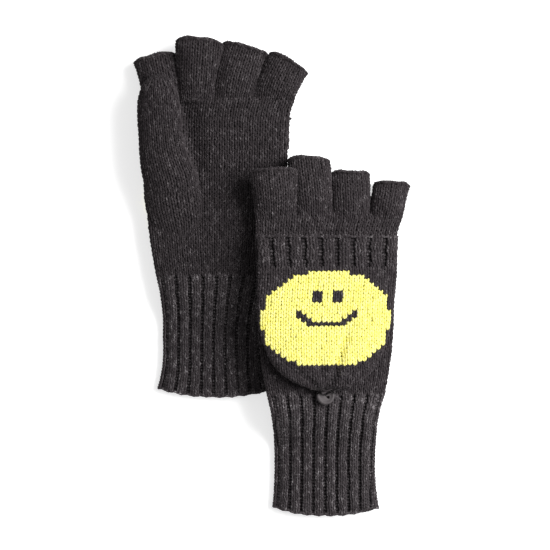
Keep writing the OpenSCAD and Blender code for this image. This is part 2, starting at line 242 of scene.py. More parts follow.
def makeSheet(side, sections, arc=(0.0, 1.0), power=2.6, sculpt=None, around=288, along=120):
    sections = np.array(sections, float)
    steps = np.linalg.norm(np.diff(sections[:, :3], axis=0), axis=1)
    knots = np.concatenate([[0], np.cumsum(np.maximum(steps, 0.2))])
    rows = spline(knots, sections, np.linspace(0, knots[-1], along))
    turn = np.pi - 2 * np.pi * np.linspace(0, 1, 721)
    cx = np.sign(np.cos(turn)) * np.abs(np.cos(turn)) ** (2 / power)
    cz = np.sign(np.sin(turn)) * np.abs(np.sin(turn)) ** (2 / power)
    u = np.linspace(arc[0], arc[1], around)
    points = np.zeros((along, around, 3))
    girth = np.zeros(along)
    for r, row in enumerate(rows):
        half, thick = max(row[9], 0.02), max(row[10], 0.02)
        x, z = half * cx, thick * cz
        run = np.concatenate([[0], np.cumsum(np.hypot(np.diff(x), np.diff(z)))])
        girth[r] = run[-1]
        x, z = np.interp(u * run[-1], run, x), np.interp(u * run[-1], run, z)
        points[r] = row[:3] + x[:, None] * row[3:6] + z[:, None] * row[6:9]
    v = np.linspace(0, 1, along)
    if sculpt:
        points = sculpt(points, np.broadcast_to(u, points.shape[:2]), np.broadcast_to(v[:, None], points.shape[:2]))
    points = lay(side, points)
    whole = arc == (0.0, 1.0)
    if whole:
        ringed = np.concatenate([points[:, -3:-1], points, points[:, 1:3]], axis=1)
        du = np.gradient(ringed, axis=1)[:, 2:-2]
    else:
        du = np.gradient(points, axis=1)
    dv = np.gradient(points, axis=0)
    normals = np.cross(du, dv)
    normals /= np.maximum(np.linalg.norm(normals, axis=2, keepdims=True), 1e-9)
    middle = lay(side, rows[:, None, :3])
    outward = np.sum(normals * (points - middle)) > 0
    if not outward:
        normals = -normals
    for _ in range(3):
        normals[1:-1] = (normals[:-2] + 2 * normals[1:-1] + normals[2:]) / 4
    return {'points': points, 'normals': normals, 'arc': arc, 'whole': whole, 'flip': not outward,
            'length': knots[-1], 'girth': girth}


def onSheet(sheet, u, v, rise):  # where (u, v) and a height above the sheet come to
    points, normals = sheet['points'], sheet['normals']
    low, high = sheet['arc']
    if sheet['whole']:
        u = u % 1.0
    across = (u - low) / (high - low) * (points.shape[1] - 1)
    up = v * (points.shape[0] - 1)
    i = np.clip(np.floor(across).astype(int), 0, points.shape[1] - 2)
    j = np.clip(np.floor(up).astype(int), 0, points.shape[0] - 2)
    a, b = (across - i)[:, None], (up - j)[:, None]

    def mixed(grid, a, b):
        return ((grid[j, i] * (1 - a) + grid[j, i + 1] * a) * (1 - b)
                + (grid[j + 1, i] * (1 - a) + grid[j + 1, i + 1] * a) * b)
    normal = mixed(normals, np.clip(a, 0, 1), np.clip(b, 0, 1))
    normal /= np.maximum(np.linalg.norm(normal, axis=1, keepdims=True), 1e-9)
    return mixed(points, a, b) + normal * rise[:, None]


# ---- stitches

shadeSlot = 2  # a piece's materials are its own wool, the lemon and the purl side, which is darkened as painted shade between the loops
pressed = 0.6  # mm above the table, below which cloth is pressed flat on it

def drawTube(bm, path, radii, sides=5):
    path = [Vector(p) for p in path]
    frames = []
    for i, p in enumerate(path):
        ahead = path[min(i + 1, len(path) - 1)] - path[max(i - 1, 0)]
        frames.append(Matrix.Translation(p) @ ahead.to_track_quat('Z', 'Y').to_matrix().to_4x4()
                      @ Matrix.Diagonal((radii[i], radii[i], 1, 1)))
    ring = bmesh.ops.create_circle(bm, cap_ends=False, radius=1, segments=sides, matrix=frames[0])['verts']
    edges = list(dict.fromkeys(e for v in ring for e in v.link_edges))
    firstEdges = list(edges)
    uv = bm.loops.layers.uv.get('yarn') or bm.loops.layers.uv.new('yarn')
    run = 0.0
    for i in range(1, len(path)):
        grown = bmesh.ops.extrude_edge_only(bm, edges=edges)['geom']
        ring = [g for g in grown if isinstance(g, bmesh.types.BMVert)]
        fresh = set(ring)
        faces = [g for g in grown if isinstance(g, bmesh.types.BMFace)]
        step = (path[i] - path[i - 1]).length
        bmesh.ops.transform(bm, matrix=frames[i] @ frames[i - 1].inverted(), verts=ring)
        back = frames[i].inverted()
        faces.sort(key=lambda face: (back @ face.calc_center_median()).to_2d().angle_signed(Vector((1, 0))))
        for k, face in enumerate(faces):
            for loop in face.loops:
                loop[uv].uv = ((k + (loop.vert in fresh)) * 0.5, run + (step if loop.vert in fresh else 0))
        run += step
        edges = [g for g in grown if isinstance(g, bmesh.types.BMEdge)
                 and g.verts[0] in fresh and g.verts[1] in fresh]
    bmesh.ops.holes_fill(bm, edges=edges + firstEdges, sides=sides)


def toMesh(bm, name, recalc=True):
    if recalc:
        bmesh.ops.recalc_face_normals(bm, faces=bm.faces)
    mesh = bpy.data.meshes.new(name)
    bm.to_mesh(mesh)
    bm.free()
    return mesh


def stitchUnit(width, height, yarn=1.0, wales=1, gap=0.0, dip=0.0):
    # the V of a knit stitch, or two of them and the purl bump between ribs
    bm = bmesh.new()
    radius = 0.245 * width * yarn
    for w in range(wales):
        middle = (w + 0.5) * width
        for hand in (-1, 1):
            arch = 0.0 if wales == 1 else (-dip if (w == 0) == (hand < 0) else 0.0)
            path = [(middle + hand * 0.06 * width, -0.16 * height, -1.05),
                    (middle + hand * 0.18 * width, 0.22 * height, -0.55 * radius * 1.6 + arch * 0.6),
                    (middle + hand * 0.29 * width, 0.72 * height, -0.5 * radius * 1.6 + arch),
                    (middle + hand * 0.33 * width, 1.22 * height, -1.15 + arch)]
            drawTube(bm, path, [radius * 0.6, radius, radius * 1.02, radius * 0.62])
    if gap:
        start = wales * width
        path = [(start - 0.1 * gap, 0.42 * height, -3.1), (start + 0.5 * gap, 0.62 * height, -3.0),
                (start + 1.1 * gap, 0.42 * height, -3.1)]
        drawTube(bm, path, [0.44 * height, 0.54 * height, 0.44 * height])
    return {'mesh': toMesh(bm, 'stitch'), 'width': wales * width + gap, 'height': height}


def edgeUnit(width, yarn):  # one loop of a bound-off edge
    bm = bmesh.new()
    drawTube(bm, [(-0.25 * width, -0.35, -yarn * 1.1), (0.2 * width, 0.1, -yarn * 0.9),
                  (0.8 * width, 0.25, -yarn * 1.1), (1.2 * width, -0.3, -yarn * 1.35)],
             [yarn * 0.6, yarn, yarn, yarn * 0.6])
    return {'mesh': toMesh(bm, 'edge loop'), 'width': width, 'height': 1.0}


def repeated(unit, columns, rows):  # two Array modifiers lay out the swatch
    swatch = bpy.data.objects.new('swatch', unit['mesh'])
    bpy.context.scene.collection.objects.link(swatch)
    for count, step in ((columns, (unit['width'], 0, 0)), (rows, (0, unit['height'], 0))):
        array = swatch.modifiers.new('repeat', 'ARRAY')
        array.count = count
        array.use_relative_offset = False
        array.use_constant_offset = True
        array.constant_offset_displace = step
    flat = bpy.data.meshes.new_from_object(swatch.evaluated_get(bpy.context.evaluated_depsgraph_get()))
    bpy.data.objects.remove(swatch)
    return flat


def readPoints(mesh):
    co = np.empty(len(mesh.vertices) * 3, np.float32)
    mesh.vertices.foreach_get('co', co)
    return co.reshape(-1, 3).astype(float)


def knitOver(sheet, unit, columns, rows, centred=False, keep=None, colour=None, v0=0.0, v1=1.0, rough=1.0, sink=0.0,
             phase=0.0):
    mesh = repeated(unit, columns, rows)
    co = readPoints(mesh)
    perCopy = len(unit['mesh'].vertices)
    facesPerCopy = len(unit['mesh'].polygons)
    copy = np.arange(len(co)) // perCopy
    count = columns * rows
    lumps = rng.normal(0, 1, (count, 4))  # no two stitches are pulled quite the same
    co[:, 0] += lumps[copy, 0] * 0.035 * unit['width'] * rough
    co[:, 1] += lumps[copy, 1] * 0.05 * unit['height'] * rough
    co[:, 2] += lumps[copy, 2] * 0.09 * rough - sink
    low, high = sheet['arc']
    total = columns * unit['width']
    v = v0 + (v1 - v0) * co[:, 1] / (rows * unit['height'])
    if centred:  # whole wales run straight from the middle of the front and are gathered at the back
        girth = np.interp(np.clip(v, 0, 1), np.linspace(0, 1, len(sheet['girth'])), sheet['girth'])
        u = 0.25 + (co[:, 0] - total / 2) / girth
    else:
        u = low + (high - low) * (co[:, 0] / total - phase)
    place = onSheet(sheet, u, v, co[:, 2])
    mesh.vertices.foreach_set('co', place.astype(np.float32).ravel())
    copyRow, copyColumn = np.arange(count) // columns, np.arange(count) % columns
    vMid = v0 + (v1 - v0) * (copyRow + 0.5) / rows
    across = (copyColumn + 0.5 - columns / 2) * unit['width']
    if colour is not None:
        index = colour(across, vMid * sheet['length'])
        mesh.polygons.foreach_set('material_index', np.repeat(index, facesPerCopy).astype(np.int32))
    drop = np.zeros(count, bool)
    if centred:
        girthMid = np.interp(np.clip(vMid, 0, 1), np.linspace(0, 1, len(sheet['girth'])), sheet['girth'])
        drop |= np.abs(across) > girthMid / 2
    if keep is not None:
        mid = np.zeros((count, 3))
        np.add.at(mid, copy, place)
        drop |= ~keep(mid / perCopy)
    if sheet['flip']:
        mesh.flip_normals()
    if drop.any():
        bm = bmesh.new()
        bm.from_mesh(mesh)
        bm.verts.ensure_lookup_table()
        gone = np.flatnonzero(drop[copy])
        bmesh.ops.delete(bm, geom=[bm.verts[int(i)] for i in gone], context='VERTS')
        bm.to_mesh(mesh)
        bm.free()
    return mesh


def rim(sheet, unit, columns, at=1.0, **how):  # one row of loops round an edge
    v0 = at - 0.5 * unit['height'] / sheet['length']
    return knitOver(sheet, unit, columns, 1, v0=v0, v1=v0 + unit['height'] / sheet['length'], **how)


def onSheetOpen(sheet, u, v, rise):  # the last column lands exactly on the first
    if sheet['whole']:
        u = np.where(u >= 1.0, 0.0, u)
    return onSheet(sheet, u, v, rise)


def backing(sheet, columns, rows, depth=1.15, thick=0.8, keep=None):  # the purl side: a closed wall under the stitches, coloured darker than the yarn as painted shade between the loops
    bm = bmesh.new()
    bmesh.ops.create_grid(bm, x_segments=columns, y_segments=rows, size=0.5)
    bmesh.ops.translate(bm, vec=(0.5, 0.5, -depth), verts=bm.verts)
    low, high = sheet['arc']

    def placed(verts):
        co = np.array([v.co[:] for v in verts])
        return onSheetOpen(sheet, low + (high - low) * co[:, 0], co[:, 1], co[:, 2])
    if keep is not None:
        faces = list(bm.faces)
        mid = np.array([f.calc_center_median()[:] for f in faces])
        at = onSheetOpen(sheet, low + (high - low) * mid[:, 0], mid[:, 1], mid[:, 2])
        bmesh.ops.delete(bm, geom=[f for f, ok in zip(faces, keep(at)) if not ok], context='FACES')
    top = list(bm.faces)
    grown = bmesh.ops.extrude_face_region(bm, geom=top, use_keep_orig=True)['geom']
    bmesh.ops.translate(bm, vec=(0, 0, -thick), verts=[g for g in grown if isinstance(g, bmesh.types.BMVert)])
    if sheet['whole']:
        walls = [f for f in bm.faces if all(v.co.x < 1e-5 for v in f.verts) or all(v.co.x > 1 - 1e-5 for v in f.verts)]
        bmesh.ops.delete(bm, geom=walls, context='FACES')
    verts = list(bm.verts)
    for vert, at in zip(verts, placed(verts)):
        vert.co = at
    bmesh.ops.remove_doubles(bm, verts=bm.verts, dist=0.004)
    bmesh.ops.recalc_face_normals(bm, faces=bm.faces)
    if bm.calc_volume(signed=True) < 0:
        bmesh.ops.reverse_faces(bm, faces=bm.faces)
    bm.loops.layers.uv.new('yarn')
    for face in bm.faces:
        # painted shade: the purl side takes the darkened tone
        face.material_index = shadeSlot
    return toMesh(bm, 'backing', recalc=False)


def joined(name, meshes, materials):
    bm = bmesh.new()
    for mesh in meshes:
        co = readPoints(mesh)
        low = np.minimum(co[:, 2], pressed)
        co[:, 2] = np.where(co[:, 2] < pressed, pressed * np.exp((low - pressed) / pressed), co[:, 2])
        mesh.vertices.foreach_set('co', co.astype(np.float32).ravel())
        bm.from_mesh(mesh)
        bpy.data.meshes.remove(mesh)
    bmesh.ops.scale(bm, vec=(mm, mm, mm), verts=bm.verts)
    for face in bm.faces:
        face.smooth = True
    mesh = toMesh(bm, name, recalc=False)
    for material in materials:
        mesh.materials.append(material)
    piece = bpy.data.objects.new(name, mesh)
    bpy.context.scene.collection.objects.link(piece)
    return piece


knitSet = [charcoalWool, lemonWool, purlSideShadeWool]
ribSet = [litRibWool, lemonWool, purlSideShadeWool]
bandSet = [litBandWool, lemonWool, purlSideShadeWool]

gauge = {
    'palmWale': 3.5, 'palmRow': 3.0, 'fingerWale': 3.4, 'fingerRow': 2.7, 'thumbRow': 2.9, 'flapRow': 2.62,
    'cuffRow': 2.25, 'cuffRibs': 18, 'bandRow': 2.3, 'bandRibs': 9
}
palmColumns = round(2 * (palmWidth + 4) / gauge['palmWale'])


def ripple(x, y, size, seed):  # smooth unevenness of hand-laid cloth, about 1 high
    local = np.random.default_rng(seed)
    total = 0
    for _ in range(5):
        way, phase = local.uniform(0, 2 * np.pi, 2)
        k = 2 * np.pi / (size * local.uniform(0.7, 1.5))
        total = total + np.sin(k * (x * np.cos(way) + y * np.sin(way)) + phase)
    return total / 3


def ride(piece, side, body, node):
    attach(piece, side + '_' + body)
    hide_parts(side + '_' + node)
    return piece


# ---- hand

hand = {'wristStart': 0.6, 'taper': 4.0, 'ease': 2.0, 'holeBack': 15.0, 'holeRadius': 8.5}


def handWidth(y):
    share = -y / handLength
    if share < hand['wristStart']:
        return palmWidth - hand['taper'] * share / hand['wristStart']
    ease = ((share - hand['wristStart']) / (1 - hand['wristStart'])) ** 1.4
    return palmWidth - hand['taper'] + (wristWidth + hand['ease'] - palmWidth + hand['taper']) * ease


def thumbStart(side):  # the thumb's root in the mitten's own millimetres
    p = thumbRoot[side]
    if side == 'left':
        return np.array([p[0] - leftFold[0], p[1] - leftFold[1]])
    x = (p[0] - rightFold[0]) * math.cos(roll) - (p[2] - rightFold[2]) * math.sin(roll)
    return np.array([x, p[1] - rightFold[1]])


def softHand(side, seed):
    def sculpt(p, u, v):
        palm = np.sin(2 * np.pi * u) < 0
        x, y = p[..., 0], p[..., 1]
        press = hollow(x, y) if side == 'left' else 0.0
        p[..., 2] += np.where(palm, 0.45 * ripple(x, y, 46, seed) + press, 0.12 * ripple(x, y, 46, seed))
        return p
    return sculpt


def hollow(x, y):  # the palm dips beside the thumb lying on it, and is drawn up into a low ridge at the crotch
    edge = -23.0 + 0.236 * np.clip(-y, -20, 34)
    fade = np.clip((y + 42) / 14, 0, 1) * np.clip((30 - y) / 20, 0, 1)
    ridge = np.exp(-((y + 29.5) / 4) ** 2) * np.clip((x + 17) / 6, 0, 1) * np.clip((14 - x) / 18, 0, 1)
    step = np.exp(-((y + 37) / 2.6) ** 2) * np.clip((x + 19) / 6, 0, 1) * np.clip((14 - x) / 18, 0, 1)
    dip = np.exp(-((x - edge - 2.5) / np.where(x > edge + 2.5, 9.0, 5.0)) ** 2)
    return 4.4 * fade * dip - 1.5 * ridge + 0.9 * step


def makeHand(side):
    sections = [section(0, y, -handThick / 2, handWidth(y) / 2, handThick / 2)
                for y in np.linspace(-handLength, 0, 9)]
    sheet = makeSheet(side, sections, sculpt=softHand(side, 3 if side == 'left' else 4))
    rows = round(handLength / gauge['palmRow'])
    root = thumbStart(side)
    centre = np.array([root[0], root[1] - hand['holeBack'], -handThick])
    hole = lay(side, centre)
    inward = lay(side, centre + (0, 0, 1)) - hole

    def solid(at):  # all but the hole in the palm that opens into the thumb
        return (np.linalg.norm(at - hole, axis=1) > hand['holeRadius']) | ((at - hole) @ inward > handThick / 2)
    unit = stitchUnit(gauge['palmWale'], gauge['palmRow'])
    parts = [knitOver(sheet, unit, palmColumns, rows, keep=solid), backing(sheet, palmColumns, rows, keep=solid)]
    return ride(joined(side + '_hand_knit', parts, knitSet), side, 'glove', 'hand')


# ---- cuff: two knit, two purl

cuff = {'waist': 68.5, 'hem': 5.0, 'left': {'mouth': 76.0, 'drift': -2.4}, 'right': {'mouth': 71.5, 'drift': -1.6}}


def softCuff(side, seed):
    def sculpt(p, u, v):
        half = cuff[side]['mouth'] / 2
        near = np.clip(1 - v / 0.45, 0, 1) ** 2
        p[..., 1] += cuff['hem'] * near * np.clip(np.abs(p[..., 0]) / half, 0, 1.1) ** 2.2
        scallop = np.cos(2 * np.pi * gauge['cuffRibs'] * u)  # one to each rib, along the open edge
        p[..., 1] -= 0.3 * np.clip(1 - v / 0.1, 0, 1) * scallop
        top = np.sin(2 * np.pi * u) > 0
        front = top if side == 'right' else ~top
        p[..., 0] += np.where(front, -2.2, 1.4) * near * np.clip(p[..., 0] / half, 0, 1) ** 2
        p[..., 2] += 0.4 * ripple(p[..., 0], p[..., 1], 60, seed) * (1 - v)
        return p
    return sculpt


def makeCuff(side):
    own, root = cuff[side], wristWidth + hand['ease']
    shares = [(0, 0.0), (0.12, 0.42), (0.3, 0.84), (0.5, 1.0), (0.7, 0.99)]
    widths = [(s, root + (cuff['waist'] - root) * k) for s, k in shares]
    widths += [(0.88, cuff['waist'] + 0.5 * (own['mouth'] - cuff['waist'])), (1.0, own['mouth'])]
    sections = [section(own['drift'] * min(s * 2.2, 1), -handLength - cuffLength * s, -handThick / 2, w / 2,
                        handThick / 2 + 0.4) for s, w in reversed(widths)]
    sheet = makeSheet(side, sections, sculpt=softCuff(side, 5 if side == 'left' else 6))
    period = float(np.median(sheet['girth'])) / gauge['cuffRibs']
    wale = period * 0.37
    unit = stitchUnit(wale, gauge['cuffRow'], yarn=1.08, wales=2, gap=period - 2 * wale, dip=0.5)
    rows = round(cuffLength / gauge['cuffRow'])
    edge = edgeUnit(period / 3, 0.9)
    shift = wale / period / gauge['cuffRibs']
    parts = [knitOver(sheet, unit, gauge['cuffRibs'], rows, phase=shift, v1=1.01, rough=0.6),
             rim(sheet, edge, gauge['cuffRibs'] * 3, at=0.005, rough=1.6, sink=-0.1),
             backing(sheet, gauge['cuffRibs'] * 4, rows, depth=2.4, thick=0.6)]
    return ride(joined(side + '_cuff_rib', parts, ribSet), side, 'glove', 'cuff')


# ---- knuckles and the four open fingers

fingers = {
    'names': ['index', 'middle', 'ring', 'little'],
    'root': [24.2, 24.8, 24.4, 22.6], 'between': 0.5, 'corner': 3.6, 'plump': 4.4,
    'flattened': 0.3,  # of their thickness is left when the flap is closed over them
    'spread': {'left': 4.8, 'right': 4.8},  # how far the knuckles run out under the little finger
    # base: middle x, half width; tip: middle x, y, half width; tip's tilt in degrees; its height above the rest
    'right': [(-34.4, 14.8, -37.4, 46.9, 16.8, -2, 4.6), (-8.5, 13.2, -12.6, 55.0, 15.2, 2, 1.0),
              (17.0, 13.6, 16.6, 45.6, 14.5, 0, -2.2), (41.6, 12.0, 45.9, 38.4, 12.8, 4.6, 0.4)],
    'left': [(-36.6, 13.4, -42.3, 44.0, 14.8, -11.6, 2.6), (-13.4, 13.4, -11.4, 55.0, 16.8, 5.4, -2.6),
             (11.6, 15.6, 20.8, 49.8, 17.6, 17, 0.6), (38.6, 14.9, 49.2, 40.4, 15.0, 30, -1.4)]
}
fingerSum = sum(fingers['root']) + 3 * fingers['between']


def makeKnuckles(side):
    out = fingers['spread'][side]
    ends = [(-1.5, palmWidth, 0, 0), (0, palmWidth, 0.05, 0),
            (knuckleLength / 2, 0.4 * palmWidth + 0.6 * fingerSum, 0.45, 0),
            (knuckleLength - 2, fingerSum, 0.9, 0), (knuckleLength + 3, fingerSum, 1.0, 1.9)]
    sections = [section(out / 2 * k, y, -handThick / 2, (w + out * k) / 2 - thin, handThick / 2 - thin)
                for y, w, k, thin in ends]
    sheet = makeSheet(side, sections, sculpt=softHand(side, 3 if side == 'left' else 4), along=40)
    rows = round(sheet['length'] / gauge['palmRow'])
    unit = stitchUnit(gauge['palmWale'], gauge['palmRow'])
    parts = [knitOver(sheet, unit, palmColumns, rows), backing(sheet, palmColumns, rows)]
    return ride(joined(side + '_knuckles_knit', parts, knitSet), side, 'glove', 'knuckles')


def softFinger(seed):
    def sculpt(p, u, v):
        edge = 1 - np.minimum(u % 0.5, 0.5 - u % 0.5) / 0.25  # 1 at the tube's folded sides, 0 along its middle
        near = np.clip((v - 0.7) / 0.3, 0, 1) ** 2
        p[..., 1] -= near * (fingers['corner'] * edge ** 4 - 0.5 * ripple(p[..., 0], 0, 9, seed + 1))
        p[..., 2] += 0.3 * v * ripple(p[..., 0], p[..., 1], 24, seed)
        return p
    return sculpt


def makeFinger(side, i):
    baseX, baseHalf, tipX, tipY, tipHalf, tilt, lift = fingers[side][i]
    length = math.hypot(tipX - baseX, tipY - knuckleLength)
    sections = []
    for f, flare in ((-0.1, 0), (0, 0), (0.3, 0), (0.65, 0), (0.9, 0), (1.0, -0.8)):
        ease = max(f, 0) ** 2 * (3 - 2 * f)
        along = f * f * (2 - f) * 0.5 + f * 0.5  # it leaves the knuckles straight, then leans
        plump = (fingers['plump'] + 0.8) * math.sin(math.pi / 2 * min((f + 0.1) * 2, 1)) * (1 - 0.4 * ease ** 3) - 0.8
        sections.append(section(baseX + (tipX - baseX) * along, knuckleLength + (tipY - knuckleLength) * f,
                                -handThick / 2 + lift * ease, baseHalf + (tipHalf - baseHalf) * f + flare,
                                handThick / 2 + plump, tilt * f))
    sheet = makeSheet(side, sections, power=2.0, sculpt=softFinger(20 + i + (10 if side == 'left' else 0)),
                      along=60, around=144)
    girth = float(np.mean(sheet['girth']))
    columns = round(girth / gauge['fingerWale'])
    rows = round(length * 1.08 / gauge['fingerRow'])
    unit = stitchUnit(girth / columns, length * 1.08 / rows)
    edge = edgeUnit(girth / columns, 1.2)
    parts = [knitOver(sheet, unit, columns, rows, v0=0.0, v1=0.985),
             rim(sheet, edge, columns, at=0.975, rough=1.8, sink=-0.75),
             backing(sheet, columns * 2, rows)]
    name = fingers['names'][i] + '_finger'
    return ride(joined(side + '_' + name + '_knit', parts, knitSet), side, 'glove', name)


# ---- thumb and the fabric that rises from the palm to it

thumb = {
    # gusset: distance below the root, height above it, half width, half thickness, how far its middle is off the axis
    # outline: share of the length, half width, how far its middle is off the axis, how far it sinks
    'length': 76.0, 'gap': 1.0, 'tipRows': 3,
    'left': {
        'lean': -7.0, 'thick': 7.4,
        'gusset': [(42, 10.6, 12, 3.0, 2.4), (32, 9.8, 15.6, 4.4, 2.4), (22, 8.2, 18.2, 5.6, 2.0),
                   (11, 5.4, 18.8, 6.4, 1.4), (0, 3.0, 18.4, 6.4, 1.4), (-7, 3.6, 18.0, 5.8, 1.6),
                   (-12, 4.6, 16.8, 4.6, 1.6), (-14, 5.4, 15.2, 3.2, 1.6)],
        'outline': [(-0.06, 16.8, 1.2, 6.2), (0, 18.0, 1.3, 3.6), (0.09, 18.2, 0.6, 1.7), (0.17, 17.4, -0.6, 0.6),
                    (0.29, 16.0, -2.0, 0.1), (0.47, 15.0, -2.0, 0), (0.66, 14.8, -1.4, 0), (0.78, 14.0, -0.8, 0),
                    (0.87, 12.2, -0.4, 0), (0.94, 9.2, -0.1, 0), (0.975, 6.2, 0, 0), (0.993, 3.2, 0, 0),
                    (1.0, 0.2, 0, 0)]},
    'right': {
        'lean': 27.0, 'thick': 4.0,
        'gusset': [(40, 7.4, 7, 1.6, 0), (32, 6.6, 10, 2.6, 0), (22, 5.4, 13.5, 3.4, 0), (11, 2.8, 14.2, 4.0, 0),
                   (0, 0, 14.6, 4.0, 0)],
        'outline': [(-0.04, 13.8, 0, 1.2), (0, 14.6, 0, 0.6), (0.2, 14.0, 0, 0), (0.5, 14.0, 0, 0), (0.7, 13.6, 0, 0),
                    (0.83, 12.0, 0, 0), (0.92, 9.0, 0, 0), (0.975, 5.4, 0, 0), (0.993, 2.8, 0, 0), (1.0, 0.2, 0, 0)]}
}
flatHalf = 4.0  # half the thickness of a thumb that lies flat
thumbMiddle = -handThick - thumb['gap'] - flatHalf


def makeThumb(side):
    lean = thumb[side]['lean']
    slope = math.radians(lean)
    root = thumbStart(side)
    sections = []
    full = thumb[side]['thick']
    for f, half, shift, sink in thumb[side]['outline']:
        thick = full * min(1.0, (1.0 - f) * 8 + 0.05) ** 0.5
        sections.append(section(root[0] + math.sin(slope) * thumb['length'] * f + math.cos(slope) * shift,
                                root[1] + math.cos(slope) * thumb['length'] * f - math.sin(slope) * shift,
                                thumbMiddle + sink - (thick - flatHalf) * 0.5, half, thick, lean))
    sheet = makeSheet(side, sections, power=2.0, around=160)
    columns = round(float(np.max(sheet['girth'])) / gauge['fingerWale'])
    rows = round(thumb['length'] / gauge['thumbRow'])
    unit = stitchUnit(gauge['fingerWale'], gauge['thumbRow'])
    tip = thumb['tipRows']  # the last rows are worked on half as many stitches
    split = 1 - tip / rows
    parts = [knitOver(sheet, unit, columns - columns % 2, rows - tip, v1=split),
             knitOver(sheet, unit, columns // 2, tip, v0=split, v1=1.0),
             backing(sheet, columns * 2, rows * 2)]
    piece = joined(side + '_thumb_knit', parts, knitSet)
    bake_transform(piece)
    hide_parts(side + '_thumb')
    return piece


def makeGusset(side):
    lean = thumb[side]['lean']
    slope = math.radians(lean)
    root = thumbStart(side)
    sections = []
    for back, sink, half, thick, shift in thumb[side]['gusset']:
        sections.append(section(root[0] - back * math.sin(slope) + shift, root[1] - back * math.cos(slope),
                                thumbMiddle + sink, half, thick, lean))
    sheet = makeSheet(side, sections, power=2.1, around=160, along=60)
    columns = round(float(np.mean(sheet['girth'])) / gauge['fingerWale'])
    rows = round(sheet['length'] / gauge['palmRow'])
    unit = stitchUnit(gauge['fingerWale'], gauge['palmRow'])
    parts = [knitOver(sheet, unit, columns, rows), backing(sheet, columns, rows)]
    return ride(joined(side + '_thumb_gusset_knit', parts, knitSet), side, 'glove', 'thumb_gusset')


# ---- flap

flap = {
    'rows': [(-103.7, -2.5, 0.05, 0.2, 6.0), (-103.2, -2.5, 5.0, 1.5, 6.0), (-102.2, -2.3, 9.5, 2.4, 5.9),
             (-100.2, -1.8, 15.2, 3.4, 5.7), (-96.6, -2.0, 23.5, 4.3, 5.4), (-91, -2.4, 31.0, 4.8, 5.2),
             (-84, -2.8, 36.6, 4.8, 5.1), (-75, -3.0, 41.0, 4.6, 4.9), (-64, -3.0, 44.6, 4.3, 4.6),
             (-52, -2.6, 46.9, 4.0, 4.3), (-40, -2.0, 47.6, 3.8, 4.1), (-30, -1.2, 48.0, 3.8, 4.1),
             (-20, -0.8, 48.4, 3.8, 4.1)],  # y, middle x, half width, half thickness, middle z
    'tip': (-1.5, -106.0),
    # angle at the tip, width, depth, reach
    'folds': [(-54, 3.0, 4.2, 40), (-14, 2.6, 2.6, 30), (17, 3.0, 4.8, 54), (58, 3.0, 3.0, 32)],
    'strip': ((-20, -0.8), (-10, -0.4), (-0.6, 0)), 'stripRows': 7,  # y, middle x of the layer that runs to the fold
    'faceMotif': True,
    'oval': {'y': -54.0, 'half': 44.4, 'high': 31.8, 'above': 2.15, 'below': 2.5},
    'eye': {'apart': 7.6, 'y': -40.6, 'half': 3.6, 'high': 4.0},
    'mouth': {'half': 22.0, 'y': -57.8, 'rise': 8.5, 'thick': 2.6}
}


def softFlap(seed):
    def sculpt(p, u, v):
        x, y = p[..., 0].copy(), p[..., 1].copy()
        top = np.clip(np.sin(2 * np.pi * u) * 3, 0, 1)
        away = np.hypot(x - flap['tip'][0], y - flap['tip'][1])
        angle = np.degrees(np.arctan2(x - flap['tip'][0], y - flap['tip'][1]))
        for at, width, depth, reach in flap['folds']:
            offset = np.radians(angle - at) * away / width
            near = np.clip(1 - away / reach, 0, 1) ** 0.7 * np.clip(away / 5, 0, 1)
            p[..., 2] -= top * depth * near * np.exp(-offset ** 2)
        p[..., 2] += top * 0.35 * ripple(x, y, 42, seed)
        return p
    return sculpt


def chart(across, y):  # the worked-in oval and its plain face, one square to a stitch
    oval, eye, mouth = flap['oval'], flap['eye'], flap['mouth']
    power = np.where(y > oval['y'], oval['above'], oval['below'])
    inside = np.abs(across / oval['half']) ** power + np.abs((y - oval['y']) / oval['high']) ** power < 1
    yellow = inside.copy()
    if flap['faceMotif']:
        for x in (-eye['apart'], eye['apart']):
            yellow &= ~((np.abs(across - x) < eye['half']) & (np.abs(y - eye['y']) < eye['high']))
        arc = mouth['y'] + mouth['rise'] * np.clip((np.abs(across) - 9) / (mouth['half'] - 9), 0, 1) ** 1.4
        yellow &= ~((np.abs(across) < mouth['half']) & (np.abs(y - arc) < mouth['thick']))
    return yellow.astype(int)


def makeFlap(side):
    sections = [section(x, y, z, half, thick) for y, x, half, thick, z in flap['rows']]
    sheet = makeSheet(side, sections, sculpt=softFlap(8 if side == 'left' else 9), along=160)
    columns = 2 * round(float(np.max(sheet['girth'])) / gauge['palmWale'] / 2)
    tipY = flap['rows'][0][0]
    rows = round(sheet['length'] / gauge['flapRow'])
    unit = stitchUnit(gauge['palmWale'], gauge['flapRow'], yarn=1.12)

    def colour(across, along):
        return chart(across, tipY + along)
    under = [section(x, y, flapMiddle, palmWidth / 2 - 0.5, flapThick / 2) for y, x in flap['strip']]
    strip = makeSheet(side, under, arc=(0.5, 1.0), along=40)
    parts = [knitOver(sheet, unit, columns, rows, centred=True, colour=colour),
             backing(sheet, columns, rows, depth=1.15),
             knitOver(strip, unit, columns // 2, flap['stripRows']), backing(strip, columns // 2, flap['stripRows'])]
    piece = joined(side + '_flap_knit', parts, knitSet)
    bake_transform(piece)
    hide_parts(side + '_flap')
    return piece


band = {
    'rows': ((-20, -0.8, 48.5), (-10, -1.0, 49.3), (1.6, -1.2, 50.0)),  # y, middle x, half width
    'length': 21.6, 'edgeAt': 0.97,
    'left': 2.4, 'right': 0.0  # moved across: the lower mitten's band shows a little beyond the hand
}


